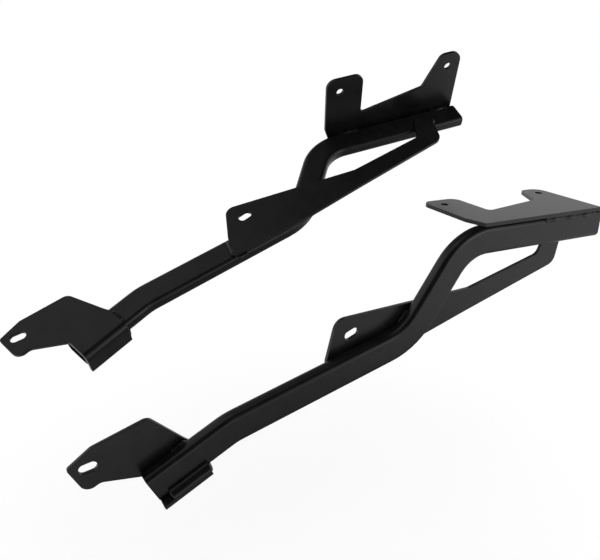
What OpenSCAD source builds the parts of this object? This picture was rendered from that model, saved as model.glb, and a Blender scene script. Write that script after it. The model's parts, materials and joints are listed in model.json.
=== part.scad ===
// Pair of welded side arms that carry a luggage rack on a motorcycle.
// Arm frame: x to the rear, y inboard, z up. The origin of an arm lies on the tube's middle
// plane and the tube's top, level with the front bolt hole of the top plate.

/* [Tube] */
// Height of the tube's section
tube_h = 30; // [24:0.5:36]
// Width of the tube's section
tube_w = 15; // [13:0.5:20]
// Radius of the section's rounded corners
tube_corner = 5.5; // [4:0.25:6]
// Wall of the tube
tube_wall = 1.5; // [1:0.1:2.5]
// Level run, from the rear end to the first bend's corner
rear_run = 187.5; // [175:0.5:205]
// Steep run, between the first two corners
drop_run = 110; // [100:0.5:125]
// Long run, between the second and third corners
long_run = 198; // [185:0.5:230]
// Front run, from the third corner to the open front end
front_run = 85; // [78:0.5:100]
// Slope of the steep run
drop_slope = 57; // [52:0.5:62]
// Slope of the long run
long_slope = 15; // [10:0.5:20]
// Slope of the front run
front_slope = 27.5; // [22:0.5:32]
// Centre-line radius of the bend under the top plate
upper_bend_r = 52; // [42:1:58]
// Centre-line radius of the bend beside the gusset
lower_bend_r = 64; // [50:1:70]
// Centre-line radius of the small front bend
front_bend_r = 60; // [40:1:90]
// Setback of the top plate from the tube's rear end
plate_setback = 1; // [0.5:0.5:3]

/* [Sheet] */
// Thickness of the three laser-cut plates
sheet = 4; // [3:0.25:6]

/* [Top plate] */
// Distance between the two bolt holes
hole_pitch = 141; // [130:0.5:155]
// Reach of the bolt holes from the tube's middle plane
hole_reach = 68.5; // [62:0.5:76]
// Bolt hole diameter
hole_d = 8.5; // [6.5:0.25:10.5]
// Metal ahead of the front hole
tab_edge = 17; // [13:0.5:22]
// Metal behind the rear hole
rear_edge = 16; // [13:0.5:20]
// Metal inboard of the holes
tab_tip = 18; // [14:0.5:24]
// Front tab's width behind its hole
tab_back = 29; // [20:0.5:36]
// Rear tab's root, ahead of its hole
rear_root = 31; // [24:0.5:38]
// Width of the plate beside the notch, at its front end
band_front = 30; // [24:0.5:36]
// Width of the plate beside the notch, at its rear end
band_rear = 46; // [40:0.5:50]
// Slant of the rear tab's front edge
tab_slant = 20; // [14:0.5:24]
// Cut back of the plate's outer front corner
cut_back = 7; // [4:0.5:10]
// Inboard end of that cut, from the tube's middle plane
cut_in = 15; // [8:0.5:20]
// Corner radius of the front tab
tab_r = 11; // [6:0.5:12.5]
// Radius of the rear tab's front corner
rear_tab_r = 9; // [5:0.5:10]
// Radius of the rear tab's rear corner
rear_corner_r = 13; // [8:0.5:15]
// Radius of the notch's front corner
notch_r = 5; // [2:0.5:8]
// Radius of the softest edges of the plates
small_r = 3; // [2:0.5:4]

/* [Side plate] */
// Slot centre ahead of the first bend's corner
side_slot_ahead = 121.5; // [112:0.5:126]
// Slot centre below the tube's top
side_slot_drop = 94.5; // [88:0.5:99]
// Rise of the plate's top edge above the slot centre
side_top_rise = 17.5; // [14:0.5:22]
// Metal ahead of the slot centre at the top
side_tab_edge = 17.5; // [15:0.5:24]
// Plate's front edge ahead of the slot centre, at the tube
side_foot_edge = 27; // [25:0.5:32]
// Depth of the front edge's upper end below the slot centre
side_foot_drop = 24; // [21:0.5:27]
// Distance of the foot's lower edge from the tube's underside
foot_margin = 1.5; // [0.5:0.5:4]
// Kink of the top edge, behind the first bend's corner
kink_back = 21.5; // [15:0.5:28]
// Depth of the window below the tube at its front end
window_depth = 40.5; // [36:0.5:46]
// Depth of the window below the tube at its rear end
window_depth_rear = 15; // [12:0.5:20]
// Rear end of the window, behind the front bolt hole
window_rear = 86.5; // [75:0.5:100]
// Length of the strut's level heel behind the window
heel_len = 26; // [22:0.5:30]
// Width of the leg behind the window, where it lies on the tube
leg_w = 23; // [19:0.5:26]
// Rearward lean of that leg
leg_lean = 10; // [6:0.5:14]
// Width of the plate's lower arm at its front end
strut_w = 25; // [20:0.5:27]
// Width of the plate's lower arm at its rear end
strut_w_rear = 13.5; // [10:0.5:16]
// Radius of the slotted tab's corner and of the heel
side_tab_r = 13; // [9:0.5:14]
// Radius of the kink
kink_r = 12; // [6:0.5:18]
// Radius of the window's rear corner
window_r = 10; // [6:0.5:12]
// Radius of the corner in the front edge
foot_r = 6; // [2:0.5:9]

/* [Front bracket] */
// Length of the bracket on the tube
bracket_len = 50; // [44:0.5:58]
// Slot centre ahead of the tube's front end
front_slot_ahead = 29.5; // [26:0.5:36]
// Slot centre above the tube's centre line
front_slot_rise = 50; // [46:0.5:56]
// Metal round the front slot
front_slot_edge = 14.5; // [13:0.5:17]
// Depth of the slotted ear below the slot centre
ear_drop = 20; // [17:0.5:22]
// Rise of the ear's front edge above the slot centre
ear_rise = 10.5; // [8:0.5:12]
// Length of the ear behind the slot centre
ear_back = 11.5; // [9:0.5:14]
// Distance of the rear shoulder from the bracket's rear edge
shoulder_in = 17; // [13:0.5:21]
// Rise of the rear shoulder above the slot centre
shoulder_rise = 5.5; // [3:0.5:8]
// Length of the upright edges below the level of the tube's top
edge_drop = 7; // [5:0.5:9]
// Slope of the rear edge's top, as its reach along the tube
edge_in = 3; // [2:0.5:5]
// Radius of the ear's and the shoulder's corners
ear_r = 9; // [6:0.5:10.5]
// Inside radius of the fold under the tube
fold_r = 4; // [2.5:0.25:4]
// Reach of the folded lip past the tube's outer face
lip_reach = 7.5; // [4:0.5:9]

/* [Slots] */
// Width of the slots
slot_w = 9; // [7:0.25:10.5]
// End-to-end length of the slots
slot_len = 16; // [14:0.5:20]
// Turn of the side plate's slot from level
side_slot_turn = 22; // [0:1:40]
// Turn of the front slot from level
front_slot_turn = 10; // [0:1:40]

/* [Welds] */
// Leg of the weld beads
bead = 4; // [2.5:0.25:5]
// Clearance of a bead from a rounded corner
seat = 0.12; // [0.1:0.01:0.2]
// Roundness of the beads in a groove, as their crown past it
crown = 1.6; // [0.8:0.1:2.4]
// Distance of the rear beads from the top plate's rear edge
bead_end = 6.5; // [4:0.5:10]
// Distance of the short beads from the corners of the plates
bead_margin = 3; // [2:0.5:4]
// Length of the outer top bead
top_bead_len = 78; // [50:1:100]
// Length of the short beads under the top plate
stitch_len = 26; // [18:1:32]
// Length of the beads at the necks of the side plate and the bracket
neck_len = 17; // [12:1:20]
// Length of the bead at the side plate's foot
foot_len = 13; // [8:1:16]
// Start of the bead on the folded lip, from the tube's front end
lip_bead_from = 9; // [5:0.5:14]
// Wrap of that bead round the lip's rear end
lip_bead_wrap = 3; // [1:0.5:5]

/* [End plug] */
// Thickness of the plug's head
plug_head = 3; // [2.5:0.25:6]
// Radius of the head's rim
plug_rim = 2.5; // [1.5:0.25:2.5]
// Length of the plug inside the tube
plug_depth = 14; // [10:0.5:20]
// Clearance of the plug in the tube
plug_fit = 0.15; // [0.05:0.05:0.4]

/* [Layout] */
// Turn of the left arm about x, as the pair lies side by side
left_turn_x = -59.8; // [-65:0.1:-55]
// Turn of the left arm about y
left_turn_y = -12.3; // [-16:0.1:-8]
// Turn of the left arm about z
left_turn_z = -10.3; // [-14:0.1:-6]
// Shift of the left arm from the right one, to the rear
left_back = -33.9; // [-45:0.1:-25]
// Shift of the left arm, inboard
left_in = 241.6; // [235:0.1:260]
// Shift of the left arm, upward
left_up = 51.3; // [45:0.1:60]

/* [Hidden] */
$fn = 48;
arc_steps = 8;
corner_steps = 6;
bend_step = 6;
past = 1;
satin_black = [0.06, 0.06, 0.065];
plug_black = [0.04, 0.04, 0.04];
face_y = tube_w / 2;
under_z = -tube_h;

// Directions along and across a run of the tube that slopes down to the front, as [x, z]
function ahead(slope) = [-cos(slope), -sin(slope)];
function above(slope) = [-sin(slope), cos(slope)];
function bend_tangent(radius, turn) = radius * tan(abs(turn) / 2);

// Corners of the tube's centre line, as [x, z]
plate_rear = hole_pitch + rear_edge;
tube_rear = plate_rear + plate_setback;
rear_end = [tube_rear, -tube_h / 2];
corner_1 = rear_end + rear_run * ahead(0);
corner_2 = corner_1 + drop_run * ahead(drop_slope);
corner_3 = corner_2 + long_run * ahead(long_slope);
front_end = corner_3 + front_run * ahead(front_slope);

// Outline of points [x, y, radius], with an arc in place of each corner that has a radius
function unit(v) = v / norm(v);
function flat(p) = [p[0], p[1]];
function wrapped(a) = a > 180 ? a - 360 : a < -180 ? a + 360 : a;
function arc_corner(before, here, after, radius) =
  let (
    u = unit(before - here),
    v = unit(after - here),
    half = acos(u * v) / 2,
    middle = here + unit(u + v) * radius / sin(half),
    from = here + u * radius / tan(half) - middle,
    to = here + v * radius / tan(half) - middle,
    start = atan2(from[1], from[0]),
    sweep = wrapped(atan2(to[1], to[0]) - start)
  )
  [for (i = [0:arc_steps]) middle + radius * [cos(start + sweep * i / arc_steps),
                                              sin(start + sweep * i / arc_steps)]];
function softened(points) = [
  for (i = [0:len(points) - 1])
    let (
      last = len(points),
      before = flat(points[(i + last - 1) % last]),
      here = flat(points[i]),
      after = flat(points[(i + 1) % last])
    )
    each (points[i][2] > 0 ? arc_corner(before, here, after, points[i][2]) : [here])
];

// Point where two lines in the side plane meet, each given by a point and a direction
function cross2(a, b) = a[0] * b[1] - a[1] * b[0];
function meet(p, u, q, v) = p + u * cross2(q - p, v) / cross2(u, v);

// Places a child at a point of the tube: its z runs ahead, its x up and its y inboard
module along(point, slope) {
  translate([point[0], 0, point[1]])
    rotate([0, -90 - slope, 0])
      children();
}

// Stands a flat outline drawn in [x, z] upright, from y = low to y = low + thick
module upright(low, thick) {
  translate([0, low + thick, 0])
    rotate([90, 0, 0])
      linear_extrude(thick)
        children();
}

module section(inset) {
  h = tube_h - 2 * inset;
  w = tube_w - 2 * inset;
  r = tube_corner - inset;
  square([h - 2 * r, w], center = true);
  square([h, w - 2 * r], center = true);
  for (i = [-1, 1], j = [-1, 1])
    translate([i * (h / 2 - r), j * (w / 2 - r)])
      circle(r);
}

// Rim of the tube's section as [up, inboard], the same number of points at every inset
function section_rim(inset) = [
  for (quarter = [0:3], i = [0:corner_steps])
    let (
      r = tube_corner - inset,
      up = quarter == 0 || quarter == 3 ? 1 : -1,
      inboard = quarter < 2 ? 1 : -1,
      turn = 90 * quarter + 90 * i / corner_steps
    )
    [up * (tube_h / 2 - tube_corner) + r * cos(turn),
     inboard * (tube_w / 2 - tube_corner) + r * sin(turn)]
];

// Centre of a bend between two runs
function bend_centre(corner, slope_from, slope_to, radius) =
  let (turn = slope_to - slope_from)
  corner - bend_tangent(radius, turn) * ahead(slope_from) - sign(turn) * radius * above(slope_from);

// Stations [[x, z], slope] of the centre line through one bend
function bend_stations(corner, slope_from, slope_to, radius) =
  let (
    turn = slope_to - slope_from,
    side = sign(turn),
    steps = ceil(abs(turn) / bend_step),
    centre = bend_centre(corner, slope_from, slope_to, radius)
  )
  [for (i = [0:steps])
    let (slope = slope_from + turn * i / steps)
    [centre + side * radius * above(slope), slope]];

stations = concat(
  [[rear_end, 0]],
  bend_stations(corner_1, 0, drop_slope, upper_bend_r),
  bend_stations(corner_2, drop_slope, long_slope, lower_bend_r),
  bend_stations(corner_3, long_slope, front_slope, front_bend_r),
  [[front_end, front_slope]]
);

function rings(inset) = [
  for (s = stations, q = section_rim(inset))
    [s[0][0] + q[0] * above(s[1])[0], q[1], s[0][1] + q[0] * above(s[1])[1]]
];

// Triangle pairs between one edge of a ring and the next one, seen from the metal's outside
function quad(a, b, c, d) = [[a, d, c], [a, c, b]];

// Square tube of rounded section, bent three times and open at both ends
module tube() {
  around = 4 * (corner_steps + 1);
  inner = around * len(stations);
  last = around * (len(stations) - 1);
  walls = [
    for (k = [0:len(stations) - 2], j = [0:around - 1])
      let (
        a = around * k + j,
        b = around * k + (j + 1) % around
      )
      each concat(quad(a, b, b + around, a + around),
                  quad(inner + b, inner + a, inner + a + around, inner + b + around))
  ];
  ends = [
    for (j = [0:around - 1])
      let (n = (j + 1) % around)
      each concat(quad(inner + j, inner + n, n, j),
                  quad(last + j, last + n, inner + last + n, inner + last + j))
  ];
  color(satin_black)
    polyhedron(points = concat(rings(0), rings(tube_wall)), faces = concat(walls, ends));
}

// Flat plate on the tube's level run, with two bolt tabs and a notch between them
top_front = -tab_edge;
top_tip = hole_reach + tab_tip;
rear_tab = hole_pitch - rear_root;
top_outline = [
  [top_front + cut_back, -face_y, 0],
  [top_front, cut_in, small_r],
  [top_front, top_tip, tab_r],
  [tab_back, top_tip, tab_r],
  [tab_back, band_front, notch_r],
  [rear_tab, band_rear, small_r],
  [rear_tab + tab_slant, top_tip, rear_tab_r],
  [plate_rear, top_tip, rear_corner_r],
  [plate_rear, -face_y, 0]
];

module top_plate() {
  color(satin_black)
    difference() {
      linear_extrude(sheet)
        polygon(softened(top_outline));
      for (x = [0, hole_pitch])
        translate([x, hole_reach, -past])
          cylinder(d = hole_d, h = sheet + 2 * past);
    }
}

module slot(thick) {
  reach = (slot_len - slot_w) / 2;
  translate([-reach, 0, 0])
    cylinder(d = slot_w, h = thick);
  translate([reach, 0, 0])
    cylinder(d = slot_w, h = thick);
  translate([-reach, -slot_w / 2, 0])
    cube([2 * reach, slot_w, thick]);
}

module slot_through(point, turn) {
  translate([point[0], face_y + sheet + past, point[1]])
    rotate([90, 0, 0])
      rotate([0, 0, turn])
        slot(sheet + 2 * past);
}

// Gusset on the tube's inner face: slotted tab, strut below the window, leg up the tube
side_slot = [corner_1[0] - side_slot_ahead, -side_slot_drop];
side_top = side_slot[1] + side_top_rise;
foot_line = corner_2 - (tube_h / 2 - foot_margin) * above(long_slope);
foot_top = side_slot - [side_foot_edge, side_foot_drop];
foot_front = meet(foot_line, ahead(long_slope), foot_top, [0, 1]);
kink = [corner_1[0] + kink_back, under_z - window_depth];
window_corner = [window_rear, under_z - window_depth_rear];
leg_heel = window_corner + [heel_len, -strut_w_rear];
leg_top = [window_rear + leg_lean, -tube_h / 2];
leg_back = leg_top + [leg_w, 0];
side_outline = [
  [foot_front[0], foot_front[1], 0],
  [foot_top[0], foot_top[1], foot_r],
  [side_slot[0] - side_tab_edge, side_top, side_tab_r],
  [kink[0], kink[1], kink_r],
  [window_corner[0], window_corner[1], window_r],
  [leg_top[0], leg_top[1], small_r],
  [leg_back[0], leg_back[1], small_r],
  [leg_heel[0], leg_heel[1], side_tab_r],
  [kink[0], kink[1] - strut_w, 0],
  [foot_line[0], foot_line[1], 0]
];

module side_plate() {
  color(satin_black)
    difference() {
      upright(face_y, sheet)
        polygon(softened(side_outline));
      slot_through(side_slot, side_slot_turn);
    }
}

// Folded bracket on the tube's front end, drawn from that end with x back and y up the tube
front_slot = [-front_slot_ahead, front_slot_rise];
half_h = tube_h / 2;
bracket_outline = [
  [0, fold_r - half_h, 0],
  [0, half_h - edge_drop, small_r],
  [front_slot[0], front_slot[1] - ear_drop, ear_r],
  [front_slot[0] - front_slot_edge, front_slot[1] - ear_drop, ear_r],
  [front_slot[0] - front_slot_edge, front_slot[1] + ear_rise, small_r],
  [front_slot[0] + ear_back, front_slot[1] + front_slot_edge, ear_r],
  [bracket_len - shoulder_in, front_slot[1] + shoulder_rise, ear_r],
  [bracket_len - edge_in, half_h, small_r],
  [bracket_len, half_h - edge_drop, small_r],
  [bracket_len, fold_r - half_h, 0]
];

// Places a child in the frame of the tube's front end: x back along it and y up from it
module at_front_end() {
  translate([front_end[0], 0, front_end[1]])
    rotate([0, -front_slope, 0])
      children();
}

module front_bracket() {
  color(satin_black)
    at_front_end() {
      difference() {
        upright(face_y, sheet)
          polygon(softened(bracket_outline));
        slot_through(front_slot, front_slot_turn - front_slope);
      }
      translate([0, face_y - fold_r, fold_r - half_h])
        rotate([0, 90, 0])
          rotate_extrude(angle = 90)
            translate([fold_r, 0])
              square([sheet, bracket_len]);
      translate([0, -face_y - lip_reach, -half_h - sheet])
        cube([bracket_len, tube_w + lip_reach - fold_r, sheet]);
    }
}

// Plastic plug that closes the rear end
module end_plug() {
  color(plug_black) {
    translate([tube_rear, 0, -tube_h / 2])
      intersection() {
        rotate([0, 90, 0])
          linear_extrude(plug_head)
            section(0);
        rotate([90, 0, 0])
          translate([0, 0, -tube_w])
            linear_extrude(2 * tube_w)
              rim_profile(tube_h);
        translate([0, 0, -tube_h])
          linear_extrude(2 * tube_h)
            rim_profile(tube_w);
      }
    translate([tube_rear - plug_depth, 0, -tube_h / 2])
      rotate([0, 90, 0])
        linear_extrude(plug_depth)
          section(tube_wall + plug_fit);
  }
}

module rim_profile(size) {
  square([plug_head - plug_rim, size / 2]);
  mirror([0, 1])
    square([plug_head - plug_rim, size / 2]);
  translate([0, plug_rim - size / 2])
    square([plug_head, size - 2 * plug_rim]);
  for (side = [-1, 1])
    translate([plug_head - plug_rim, side * (size / 2 - plug_rim)])
      circle(plug_rim);
}

// Bead in the groove between a rounded corner of the tube and a sheet that lies on the
// tube's face: drawn from the groove's mouth, with x along the sheet and y across it
module groove_bead() {
  difference() {
    union() {
      square(tube_corner);
      translate([crown, tube_corner / 2])
        circle(tube_corner / 2);
    }
    translate([tube_corner, tube_corner])
      circle(tube_corner + seat);
  }
}

// Bead on the tube's inner face along an edge of a plate, to the left of the way from a to b
module weld_edge(a, b) {
  turn = atan2(b[1] - a[1], b[0] - a[0]);
  translate([a[0], face_y, a[1]])
    rotate([0, -turn, 0])
      rotate([90, 0, 90])
        linear_extrude(norm(b - a))
          intersection() {
            circle(bead);
            square(bead);
          }
}

// Seam under the top plate, beside the tube's outer or inner face
module weld_top(from, length, inner) {
  translate([from, 0, 0])
    mirror([0, inner ? 1 : 0, 0])
      translate([0, -face_y, 0])
        rotate([90, 0, 90])
          mirror([0, 1, 0])
            linear_extrude(length)
              groove_bead();
}

module weld_top_outer() {
  color(satin_black)
    weld_top(plate_rear - bead_end - top_bead_len, top_bead_len, false);
}

module weld_top_front() {
  color(satin_black)
    weld_top(0, stitch_len, true);
}

module weld_top_rear() {
  color(satin_black)
    weld_top(plate_rear - bead_end - stitch_len, stitch_len, true);
}

module weld_side_front() {
  color(satin_black)
    weld_edge(foot_front + [0, bead_margin], foot_top - [0, bead_margin]);
}

module weld_side_foot() {
  foot_reach = norm(foot_front - foot_line);
  color(satin_black)
    along(corner_2 + (foot_reach - bead_margin) * ahead(long_slope), long_slope)
      translate([-half_h, face_y, 0])
        mirror([0, 1, 0])
          mirror([0, 0, 1])
            linear_extrude(foot_len)
              groove_bead();
}

// Bead round the inside of the lower bend, in the groove between the tube and the gusset
module weld_side_neck() {
  centre = bend_centre(corner_2, drop_slope, long_slope, lower_bend_r);
  groove_r = lower_bend_r - half_h;
  sweep = neck_len / groove_r * 180 / PI;
  color(satin_black)
    translate([centre[0], 0, centre[1]])
      rotate([90, 0, 0])
        rotate([0, 0, drop_slope - 90 - sweep])
          rotate_extrude(angle = sweep)
            translate([groove_r, -face_y])
              groove_bead();
}

module weld_side_rear() {
  edge = leg_back - leg_heel;
  color(satin_black)
    weld_edge(leg_back - unit(edge) * bead,
              meet(leg_heel, edge, [0, under_z + bead_margin], [1, 0]));
}

module weld_bracket_rear() {
  color(satin_black)
    at_front_end()
      weld_edge([bracket_len, half_h - edge_drop - bead_margin / 2],
                [bracket_len, fold_r + bead_margin / 2 - half_h]);
}

module weld_bracket_neck() {
  color(satin_black)
    along(front_end - (bracket_len - bead_margin) * ahead(front_slope), front_slope)
      translate([half_h, face_y, 0])
        rotate([0, 0, 180])
          linear_extrude(neck_len)
            groove_bead();
}

// Bead along the folded lip, up the tube's outer face
module weld_bracket_lip() {
  color(satin_black)
    at_front_end()
      translate([lip_bead_from, -face_y, -half_h])
        rotate([90, 0, 90])
          linear_extrude(bracket_len + lip_bead_wrap - lip_bead_from)
            difference() {
              union() {
                square(tube_corner);
                intersection() {
                  circle(lip_reach);
                  translate([-lip_reach, 0])
                    square(lip_reach);
                }
              }
              translate([tube_corner, tube_corner])
                circle(tube_corner + seat);
            }
}

// Puts the origin on the right arm's front bolt hole
module right() {
  translate([0, -hole_reach, 0])
    children();
}

module left() {
  translate([left_back, left_in - hole_reach, left_up])
    rotate([left_turn_x, left_turn_y, left_turn_z])
      mirror([0, 1, 0])
        children();
}

right() tube();  // right_tube
right() top_plate();  // right_top_plate
right() side_plate();  // right_side_plate
right() front_bracket();  // right_front_bracket
right() end_plug();  // right_end_plug
right() weld_top_outer();  // right_weld_top_outer
right() weld_top_front();  // right_weld_top_front
right() weld_top_rear();  // right_weld_top_rear
right() weld_side_front();  // right_weld_side_front
right() weld_side_foot();  // right_weld_side_foot
right() weld_side_neck();  // right_weld_side_neck
right() weld_side_rear();  // right_weld_side_rear
right() weld_bracket_rear();  // right_weld_bracket_rear
right() weld_bracket_neck();  // right_weld_bracket_neck
right() weld_bracket_lip();  // right_weld_bracket_lip
left() tube();  // left_tube
left() top_plate();  // left_top_plate
left() side_plate();  // left_side_plate
left() front_bracket();  // left_front_bracket
left() end_plug();  // left_end_plug
left() weld_top_outer();  // left_weld_top_outer
left() weld_top_front();  // left_weld_top_front
left() weld_top_rear();  // left_weld_top_rear
left() weld_side_front();  // left_weld_side_front
left() weld_side_foot();  // left_weld_side_foot
left() weld_side_neck();  // left_weld_side_neck
left() weld_side_rear();  // left_weld_side_rear
left() weld_bracket_rear();  // left_weld_bracket_rear
left() weld_bracket_neck();  // left_weld_bracket_neck
left() weld_bracket_lip();  // left_weld_bracket_lip
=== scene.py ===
"""A pair of welded side arms for a luggage rack, in satin black powder coat, over a white floor."""
import json
import math

import bmesh
import bpy
import numpy as np
from mathutils import Euler, Matrix, Vector
from mathutils.bvhtree import BVHTree


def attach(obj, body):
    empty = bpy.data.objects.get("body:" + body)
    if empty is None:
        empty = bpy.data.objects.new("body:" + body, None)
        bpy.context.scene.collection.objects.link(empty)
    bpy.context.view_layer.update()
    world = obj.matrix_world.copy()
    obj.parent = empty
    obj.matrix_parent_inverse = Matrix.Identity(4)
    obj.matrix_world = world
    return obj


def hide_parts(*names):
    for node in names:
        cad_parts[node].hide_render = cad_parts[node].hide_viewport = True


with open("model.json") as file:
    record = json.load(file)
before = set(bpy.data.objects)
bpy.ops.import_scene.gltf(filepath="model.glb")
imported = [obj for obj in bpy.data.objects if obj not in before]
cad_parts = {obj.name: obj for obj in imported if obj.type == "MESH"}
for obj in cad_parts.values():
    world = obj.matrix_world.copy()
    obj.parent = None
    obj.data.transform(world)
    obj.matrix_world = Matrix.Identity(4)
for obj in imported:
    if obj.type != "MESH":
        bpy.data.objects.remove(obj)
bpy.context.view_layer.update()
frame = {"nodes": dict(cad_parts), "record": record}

MM = 0.001
SEED = 7
HALFWAY = 0.5
SIDES = ("right", "left")
SHEET_PIECES = ("top_plate", "side_plate", "front_bracket")
draws = np.random.default_rng(SEED)


# Camera, as fitted to the photograph
CAMERA_PLACE = (-0.4794, -0.5537, 0.1851)
CAMERA_TURN = (69.06, -1.55, -28.12)
CAMERA_NEAR = 10 * MM
IMAGE_WIDTH = 600
FOCAL_PIXELS = 675.9
SENSOR = 36.0


def add_camera():
    data = bpy.data.cameras.new("camera")
    data.sensor_fit = "HORIZONTAL"
    data.sensor_width = SENSOR
    data.lens = FOCAL_PIXELS * SENSOR / IMAGE_WIDTH
    data.clip_start = CAMERA_NEAR
    camera = bpy.data.objects.new("camera", data)
    camera.location = CAMERA_PLACE
    camera.rotation_euler = Euler([math.radians(a) for a in CAMERA_TURN])
    bpy.context.scene.collection.objects.link(camera)
    bpy.context.scene.camera = camera


class Graph:
    """A node tree with its texture coordinates, and short calls for the nodes used here."""

    def __init__(self, tree, coordinates):
        self.tree = tree
        self.place = self.add("ShaderNodeTexCoord").outputs[coordinates]

    def add(self, kind, **values):
        node = self.tree.nodes.new(kind)
        for key, value in values.items():
            setattr(node, key, value)
        return node

    def link(self, output, socket):
        self.tree.links.new(output, socket)

    def noise(self, size, detail, rough):
        node = self.add("ShaderNodeTexNoise")
        node.inputs["Scale"].default_value = 1 / size
        node.inputs["Detail"].default_value = detail
        node.inputs["Roughness"].default_value = rough
        self.link(self.place, node.inputs["Vector"])
        return node.outputs["Fac"]

    def ramp(self, source, start, end, low, high):
        """A colour that goes from low to high as the source goes from start to end."""
        node = self.add("ShaderNodeValToRGB")
        first, last = node.color_ramp.elements
        first.position, last.position = start, end
        first.color, last.color = (*low, 1), (*high, 1)
        self.link(source, node.inputs["Fac"])
        return node.outputs["Color"]

    def spread(self, source, start, end, low, high, shape="LINEAR"):
        """A value that goes from low to high as the source goes from start to end."""
        node = self.add("ShaderNodeMapRange", interpolation_type=shape)
        for key, value in zip(("From Min", "From Max", "To Min", "To Max"), (start, end, low, high)):
            node.inputs[key].default_value = value
        self.link(source, node.inputs["Value"])
        return node.outputs["Result"]

    def fade(self, source, start, end, low, high):
        """A spread with soft ends."""
        return self.spread(source, start, end, low, high, "SMOOTHSTEP")

    def bump(self, source, depth, under=None):
        node = self.add("ShaderNodeBump")
        node.inputs["Distance"].default_value = depth
        self.link(source, node.inputs["Height"])
        if under:
            self.link(under, node.inputs["Normal"])
        return node.outputs["Normal"]

    def math(self, operation, one, other):
        """An operation on two values, each a number or an output."""
        node = self.add("ShaderNodeMath", operation=operation)
        for socket, value in zip(node.inputs, (one, other)):
            if isinstance(value, float):
                socket.default_value = value
            else:
                self.link(value, socket)
        return node.outputs["Value"]

    def along(self, way):
        """How far the coordinates point along a way."""
        node = self.add("ShaderNodeVectorMath", operation="DOT_PRODUCT")
        self.link(self.place, node.inputs[0])
        node.inputs[1].default_value = way
        return node.outputs["Value"]

    def distance(self):
        """The coordinates' distance from their origin."""
        node = self.add("ShaderNodeVectorMath", operation="LENGTH")
        self.link(self.place, node.inputs[0])
        return node.outputs["Value"]

    def by_path(self, paths, inside, outside):
        """One value for light paths of the named kinds, and another for the rest."""
        path = self.add("ShaderNodeLightPath")
        either = path.outputs[paths[0]]
        for name in paths[1:]:
            either = self.math("MAXIMUM", either, path.outputs[name])
        kept = self.math("MULTIPLY", either, inside)
        rest = self.math("MULTIPLY", self.math("SUBTRACT", 1.0, either), outside)
        return self.math("ADD", kept, rest)


# Powder coat and plastic. A texture is the size of its features, its levels of detail and its roughness.
# A noise stays near its middle, so that a narrow part of it covers the whole reach of a colour or gloss.
BLACK = (0.0026, 0.0024, 0.0027)
GREY_BLACK = (0.0050, 0.0047, 0.0051)
COLOUR_REACH = (0.35, 0.65)
GLOSS_REACH = (0.3, 0.7)
MOTTLE = (18 * MM, 3, 0.5)
PEEL = (2.4 * MM, 1, 0.5)
GRAIN = (0.9 * MM, 2, 0.6)
SHEET_PEEL_DEPTH = 0.03 * MM
WELD_PEEL_DEPTH = 0.05 * MM
GRAIN_SHARE = 1 / 3
TUBE_ROUGHNESS = (0.24, 0.33)
PLATE_ROUGHNESS = (0.26, 0.35)
WELD_ROUGHNESS = (0.20, 0.29)
PLUG_MOTTLE = (6 * MM, 2, 0.5)
PLUG_GRAIN = (0.35 * MM, 3, 0.7)
PLUG_GRAIN_DEPTH = 0.03 * MM
PLUG_ROUGHNESS = (0.5, 0.65)


def new_paint(name):
    """A new material, its graph and its shader."""
    material = bpy.data.materials.new(name)
    material.use_nodes = True
    graph = Graph(material.node_tree, "Object")
    return material, graph, graph.tree.nodes["Principled BSDF"]


def powder_coat(name, roughness, depth):
    """Satin black powder coat: orange peel of a given depth, with faint mottling."""
    material, graph, shader = new_paint(name)
    mottle = graph.noise(*MOTTLE)
    grain = graph.noise(*GRAIN)
    graph.link(graph.ramp(mottle, *COLOUR_REACH, BLACK, GREY_BLACK), shader.inputs["Base Color"])
    graph.link(graph.spread(grain, *GLOSS_REACH, *roughness), shader.inputs["Roughness"])
    waves = graph.bump(graph.noise(*PEEL), depth)
    graph.link(graph.bump(grain, depth * GRAIN_SHARE, under=waves), shader.inputs["Normal"])
    return material


def moulded_plastic(name):
    """Matt moulded plastic with a fine spark-eroded grain."""
    material, graph, shader = new_paint(name)
    mottle = graph.noise(*PLUG_MOTTLE)
    grain = graph.noise(*PLUG_GRAIN)
    graph.link(graph.ramp(mottle, *COLOUR_REACH, BLACK, GREY_BLACK), shader.inputs["Base Color"])
    graph.link(graph.spread(grain, *GLOSS_REACH, *PLUG_ROUGHNESS), shader.inputs["Roughness"])
    graph.link(graph.bump(grain, PLUG_GRAIN_DEPTH), shader.inputs["Normal"])
    return material


MATERIALS = {
    "tube_paint": powder_coat("tube_paint", TUBE_ROUGHNESS, SHEET_PEEL_DEPTH),
    "plate_paint": powder_coat("plate_paint", PLATE_ROUGHNESS, SHEET_PEEL_DEPTH),
    "weld_paint": powder_coat("weld_paint", WELD_ROUGHNESS, WELD_PEEL_DEPTH),
    "plug": moulded_plastic("plug"),
}


# Meshes and their edges
SAME_POINT = 0.001 * MM
FLAT_ANGLE = math.radians(0.5)
SHARP_ANGLE = math.radians(32)
FACE_WEIGHT = 100
SHEET_EDGE = 0.55 * MM
EDGE_STEPS = 3
EDGE_ROUND = 0.5


def cleaned(node):
    """A node's mesh as a bmesh with shared vertices and whole flat faces."""
    mesh = bmesh.new()
    mesh.from_mesh(frame["nodes"][node].data)
    bmesh.ops.remove_doubles(mesh, verts=mesh.verts, dist=SAME_POINT)
    bmesh.ops.dissolve_limit(mesh, angle_limit=FLAT_ANGLE, verts=mesh.verts, edges=mesh.edges)
    return mesh


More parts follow.
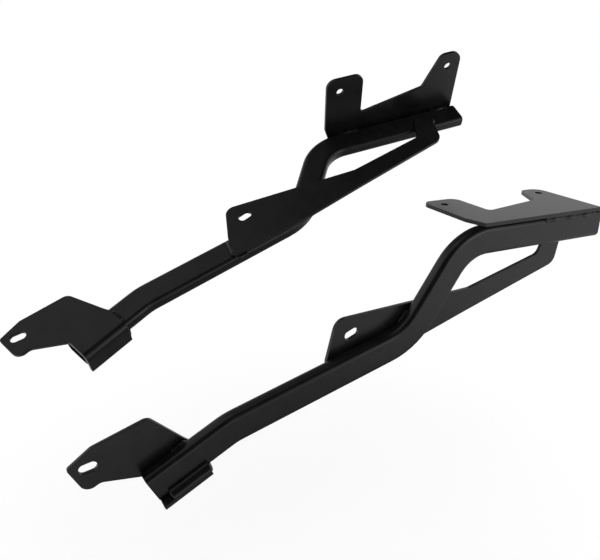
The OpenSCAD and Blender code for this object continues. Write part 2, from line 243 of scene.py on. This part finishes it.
def add_piece(name, mesh, node, slot):
    """A visible piece that stands for a node."""
    data = bpy.data.meshes.new(name)
    mesh.to_mesh(data)
    mesh.free()
    data.shade_smooth()
    data.set_sharp_from_angle(angle=SHARP_ANGLE)
    piece = bpy.data.objects.new(name, data)
    bpy.context.scene.collection.objects.link(piece)
    data.materials.append(MATERIALS[slot])
    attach(piece, "root")
    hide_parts(node)
    return piece


def soften_edges(mesh, width):
    """Rounds the edges between faces that meet sharply."""
    sharp = [e for e in mesh.edges if len(e.link_faces) == 2 and e.calc_face_angle() > SHARP_ANGLE]
    bmesh.ops.bevel(mesh, geom=sharp, offset=width, segments=EDGE_STEPS, profile=EDGE_ROUND,
                    affect="EDGES", clamp_overlap=True)


def skin(rings):
    """Closed surface through rings of points, with a face at each end."""
    mesh = bmesh.new()
    rings = [[mesh.verts.new(point) for point in ring] for ring in rings]
    for near, far in zip(rings, rings[1:]):
        for j in range(len(near)):
            k = (j + 1) % len(near)
            mesh.faces.new((near[j], near[k], far[k], far[j]))
    mesh.faces.new(rings[0][::-1])
    mesh.faces.new(rings[-1])
    bmesh.ops.recalc_face_normals(mesh, faces=mesh.faces)
    return mesh


def even_faces(piece):
    """Keeps large flat faces evenly shaded up to their rounded edges."""
    normals = piece.modifiers.new("even faces", "WEIGHTED_NORMAL")
    normals.weight = FACE_WEIGHT
    normals.keep_sharp = True


def add_sheet_piece(node):
    mesh = cleaned(node)
    soften_edges(mesh, SHEET_EDGE)
    even_faces(add_piece(node + "_coated", mesh, node, "plate_paint"))


def add_tube(node):
    even_faces(add_piece(node + "_coated", cleaned(node), node, "tube_paint"))


# End plug: depth of its domed head, the dome's inset at the face, corner radius, and the shank's inset
PLUG_HEAD = 3.0 * MM
PLUG_DOME = 5.0 * MM
PLUG_CORNER = 5.5 * MM
PLUG_SHANK = 1.65 * MM
PLUG_STEPS = 8
PLUG_CORNERS = ((1, 1), (-1, 1), (-1, -1), (1, -1))


def arm_axes(side):
    """Directions of an arm, from its bolt holes: to the rear, across and up."""
    mounts = {m["name"]: m for m in frame["record"]["mounts"]}
    front, rear = (mounts[f"{side}_{end}_bolt"] for end in ("front", "rear"))
    back = np.array(rear["pos_m"]) - np.array(front["pos_m"])
    back /= np.linalg.norm(back)
    up = np.array(front["axis"])
    return np.array([back, np.cross(up, back), up])


def plug_stations(start, end):
    """Places along the plug, each with how far its section is drawn in."""
    shoulder = end - PLUG_HEAD
    stations = [(start, PLUG_SHANK), (shoulder, PLUG_SHANK)]
    for share in np.linspace(0, 1, PLUG_STEPS + 1):
        inset = PLUG_DOME * (1 - math.sqrt(1 - share * share))
        stations.append((shoulder + share * PLUG_HEAD, inset))
    return stations


def add_plug(side):
    """The end plug: a block inside the tube and a domed head that closes it."""
    node = f"{side}_end_plug"
    axes = arm_axes(side)
    places = np.array([v.co for v in frame["nodes"][node].data.vertices]) @ axes.T
    low, high = places.min(0), places.max(0)
    middle, half = (low + high) / 2, (high - low) / 2 - PLUG_CORNER
    angles = np.linspace(0, math.pi / 2, PLUG_STEPS + 1)
    rings = []
    for along, inset in plug_stations(low[0], high[0]):
        ring = []
        for quarter, (across, up) in enumerate(PLUG_CORNERS):
            for angle in angles + quarter * math.pi / 2:
                y = middle[1] + across * half[1] + (PLUG_CORNER - inset) * math.cos(angle)
                z = middle[2] + up * half[2] + (PLUG_CORNER - inset) * math.sin(angle)
                ring.append(np.array([along, y, z]) @ axes)
        rings.append(ring)
    even_faces(add_piece(node + "_moulded", skin(rings), node, "plug"))


# Weld beads: ripples at a pitch, lumps of two lengths, and a slow wander of the ripples
BEAD_STEP = 0.45 * MM
BEAD_PITCH = 2.6 * MM
BEAD_LAG = 1.2 * MM
RIPPLE_HEIGHT = 0.20 * MM
RIPPLE_POWER = 0.7
RIPPLE_MEAN = 0.7
LUMP_HEIGHT = 0.175 * MM
LUMPS = ((3.7 * MM, 1.0), (1.9 * MM, 0.6))
WANDER = 0.5 * MM
WANDER_LENGTH = 9 * MM
BEAD_END = 2.6 * MM
END_LEAST = 0.02
HELD_GAP = 0.2 * MM
FREE_GAP = 1.1 * MM
STRAIGHT = math.radians(1)
TINY = 1e-12
PLAIN_RELIEF = 1.0
BEAD_RELIEF = {
    "bracket_lip": 0.2,
    "bracket_neck": 2.4,
    "top_front": 1.8,
    "top_outer": 2.2,
    "top_rear": 1.8,
}


def neighbours(side):
    """Search tree of the tube and plates that an arm's beads lie against."""
    points = []
    faces = []
    for piece in ("tube", *SHEET_PIECES):
        data = frame["nodes"][f"{side}_{piece}"].data
        start = len(points)
        points += [v.co.copy() for v in data.vertices]
        faces += [[start + i for i in p.vertices] for p in data.polygons]
    return BVHTree.FromPolygons(points, faces)


def bead_path(node):
    """A bead's end outline, its direction there, its length, and how it is carried along."""
    mesh = cleaned(node)
    start, end = sorted(mesh.faces, key=lambda f: -len(f.verts))[:2]
    outline = np.array([v.co for v in start.verts])
    here, there = start.calc_center_median(), end.calc_center_median()
    way, last_way = -start.normal, end.normal.copy()
    mesh.free()
    chord = there - here
    turn = way.angle(last_way)
    if turn < STRAIGHT:
        return outline, way, chord.length, lambda points, share: points + np.array(chord) * share
    axis = way.cross(last_way).normalized()
    centre = (here + there) / 2 + axis.cross(chord) / (2 * math.tan(turn / 2))

    def carried(points, share):
        rotation = np.array(Matrix.Rotation(turn * share, 3, axis))
        return (points - np.array(centre)) @ rotation.T + np.array(centre)

    return outline, way, turn * (here - centre).length, carried


def resampled(outline, step):
    """The closed outline with points no further apart than a step."""
    points = []
    for here, after in zip(outline, np.roll(outline, -1, axis=0)):
        parts = max(1, math.ceil(np.linalg.norm(after - here) / step))
        points += [here + (after - here) * i / parts for i in range(parts)]
    return np.array(points)


def outward(outline, axis):
    """Unit normals of a closed outline, away from its inside."""
    way = np.roll(outline, -1, axis=0) - np.roll(outline, 1, axis=0)
    normals = np.cross(way, axis)
    normals /= np.linalg.norm(normals, axis=1, keepdims=True) + TINY
    if ((outline - outline.mean(0)) * normals).sum() < 0:
        normals = -normals
    return normals


def freedom(section, tree):
    """From 0, where a section's point lies against a neighbour, to 1, where it is free."""
    gaps = np.array([tree.find_nearest(Vector(p))[3] for p in section])
    return np.clip((gaps - HELD_GAP) / (FREE_GAP - HELD_GAP), 0, 1)


def root_of(outline, free):
    """The held point that lies deepest under the bead's crown."""
    crown = outline[free > HALFWAY].mean(0)
    held = outline[free == 0]
    return held[np.argmax(np.linalg.norm(held - crown, axis=1))]


def bead_surface(free, relief):
    """A function of the run along a bead that says how far its section's points stand out there."""
    wander, first, *starts = draws.uniform(0, 2 * math.pi, 2 + len(LUMPS))

    def rise(run):
        swing = run + BEAD_LAG * free + WANDER * math.sin(run / WANDER_LENGTH + wander)
        ripple = np.abs(np.sin(math.pi * swing / BEAD_PITCH + first)) ** RIPPLE_POWER - RIPPLE_MEAN
        lump = sum(share * math.sin(run / length + start) for (length, share), start in zip(LUMPS, starts))
        return free * relief * (RIPPLE_HEIGHT * ripple + LUMP_HEIGHT * lump)

    return rise


def add_bead(node, tree):
    """A weld bead with the node's section, rippled where it is free and round at its ends."""
    outline, way, length, carried = bead_path(node)
    outline = resampled(outline, BEAD_STEP)
    normals = outward(outline, np.array(way))
    free = freedom(carried(outline, HALFWAY), tree)
    root = root_of(outline, free)
    rise = bead_surface(free, BEAD_RELIEF.get(node.split("_weld_")[1], PLAIN_RELIEF))
    count = math.ceil(length / BEAD_STEP)
    rings = []
    for i in range(count + 1):
        run = length * i / count
        short = min(run, length - run)
        size = math.sqrt(max(END_LEAST, 1 - max(0, 1 - short / BEAD_END) ** 2))
        ring = root + (outline + normals * rise(run)[:, None] - root) * size
        rings.append(carried(ring, i / count))
    add_piece(node + "_bead", skin(rings), node, "weld_paint")


def add_arm(side):
    add_tube(f"{side}_tube")
    add_plug(side)
    for piece in SHEET_PIECES:
        add_sheet_piece(f"{side}_{piece}")
    tree = neighbours(side)
    for node in sorted(frame["nodes"]):
        if node.startswith(side + "_weld"):
            add_bead(node, tree)


# Studio. All but the gloss sees plain white. The gloss sees a ring of light round the horizon that is
# dark on the camera's side, a dim light high up, and a floor with painted shade near the part, where its
# glow to glossy rays is dimmed. Heights and ways are those of a unit direction, and the floor's reach is
# in metres from the origin.
WHITE = (1, 1, 1, 1)
PLAIN_LIGHT = 1.0
RING_LIGHT = 0.68
RING_HEIGHTS = (0.42, 0.66)
DARK_WAY = (-0.66, -0.75, 0.0)
DARK_REACH = (0.35, 0.80)
TOP_LIGHT = 0.45
TOP_WAY = (-0.45, 0.25, 0.857)
TOP_REACH = (0.78, 1)
FLOOR_LEVEL = -0.36
FLOOR_SIZE = 8.0
FLOOR_COLOUR = (0.8, 0.8, 0.8, 1)
FLOOR_ROUGHNESS = 1.0
FLOOR_GLOSS = 0.0
FLOOR_GLOW = 0.22
# Painted shade: to glossy rays the floor glows dimly near the part and brighter further out, over this
# reach.
FLOOR_REACH = (0.15, 0.85)
FLOOR_IN_GLOSS = (0.15, 0.75)
LAMP_PLACE = (0.8, -1.3, 0.05)
LAMP_SIZE = (0.6, 0.4)
LAMP_POWER = 1.5


def add_world():
    world = bpy.data.worlds.new("studio")
    bpy.context.scene.world = world
    world.use_nodes = True
    graph = Graph(world.node_tree, "Generated")
    parts = graph.add("ShaderNodeSeparateXYZ")
    graph.link(graph.place, parts.inputs["Vector"])
    ring = graph.fade(parts.outputs["Z"], *RING_HEIGHTS, RING_LIGHT, 0)
    open_side = graph.fade(graph.along(DARK_WAY), *DARK_REACH, 1, 0)
    top = graph.fade(graph.along(TOP_WAY), *TOP_REACH, 0, TOP_LIGHT)
    in_gloss = graph.math("ADD", graph.math("MULTIPLY", ring, open_side), top)
    light = graph.tree.nodes["Background"]
    light.inputs["Color"].default_value = WHITE
    graph.link(graph.by_path(["Is Glossy Ray"], in_gloss, PLAIN_LIGHT), light.inputs["Strength"])


def floor_paint():
    """Pale floor that is white to the camera, with the part's shadow left in, and that is to glossy rays a
    glow with painted shade near the part.
    """
    material, graph, shader = new_paint("floor")
    shader.inputs["Base Color"].default_value = FLOOR_COLOUR
    shader.inputs["Roughness"].default_value = FLOOR_ROUGHNESS
    shader.inputs["Specular IOR Level"].default_value = FLOOR_GLOSS
    seen = graph.by_path(["Is Camera Ray", "Is Transmission Ray"], FLOOR_GLOW, 0.0)
    # Painted shade: the floor's glow to glossy rays is dimmed near the part.
    gloss_glow_with_painted_shade = graph.fade(graph.distance(), *FLOOR_REACH, *FLOOR_IN_GLOSS)
    glow = graph.add("ShaderNodeEmission")
    graph.link(graph.by_path(["Is Glossy Ray"], gloss_glow_with_painted_shade, seen), glow.inputs["Strength"])
    lit = graph.add("ShaderNodeMixShader")
    graph.link(graph.by_path(["Is Glossy Ray"], 0.0, 1.0), lit.inputs["Fac"])
    graph.link(shader.outputs["BSDF"], lit.inputs[2])
    both = graph.add("ShaderNodeAddShader")
    graph.link(lit.outputs["Shader"], both.inputs[0])
    graph.link(glow.outputs["Emission"], both.inputs[1])
    graph.link(both.outputs["Shader"], graph.tree.nodes["Material Output"].inputs["Surface"])
    return material


def add_floor():
    data = bpy.data.meshes.new("floor")
    half = FLOOR_SIZE / 2
    corners = [(-half, -half, 0), (half, -half, 0), (half, half, 0), (-half, half, 0)]
    data.from_pydata(corners, [], [(0, 1, 2, 3)])
    data.materials.append(floor_paint())
    floor = bpy.data.objects.new("floor", data)
    floor.location.z = FLOOR_LEVEL
    bpy.context.scene.collection.objects.link(floor)


def add_front_lamp():
    """A soft lamp in front of the part, turned to its origin."""
    data = bpy.data.lights.new("front", "AREA")
    data.shape = "RECTANGLE"
    data.size, data.size_y = LAMP_SIZE
    data.energy = LAMP_POWER
    lamp = bpy.data.objects.new("front", data)
    lamp.location = LAMP_PLACE
    lamp.rotation_euler = (-lamp.location).to_track_quat("-Z", "Y").to_euler()
    bpy.context.scene.collection.objects.link(lamp)


bpy.context.scene.view_settings.view_transform = "Standard"
for arm in SIDES:
    add_arm(arm)
add_camera()
add_world()
add_floor()
add_front_lamp()
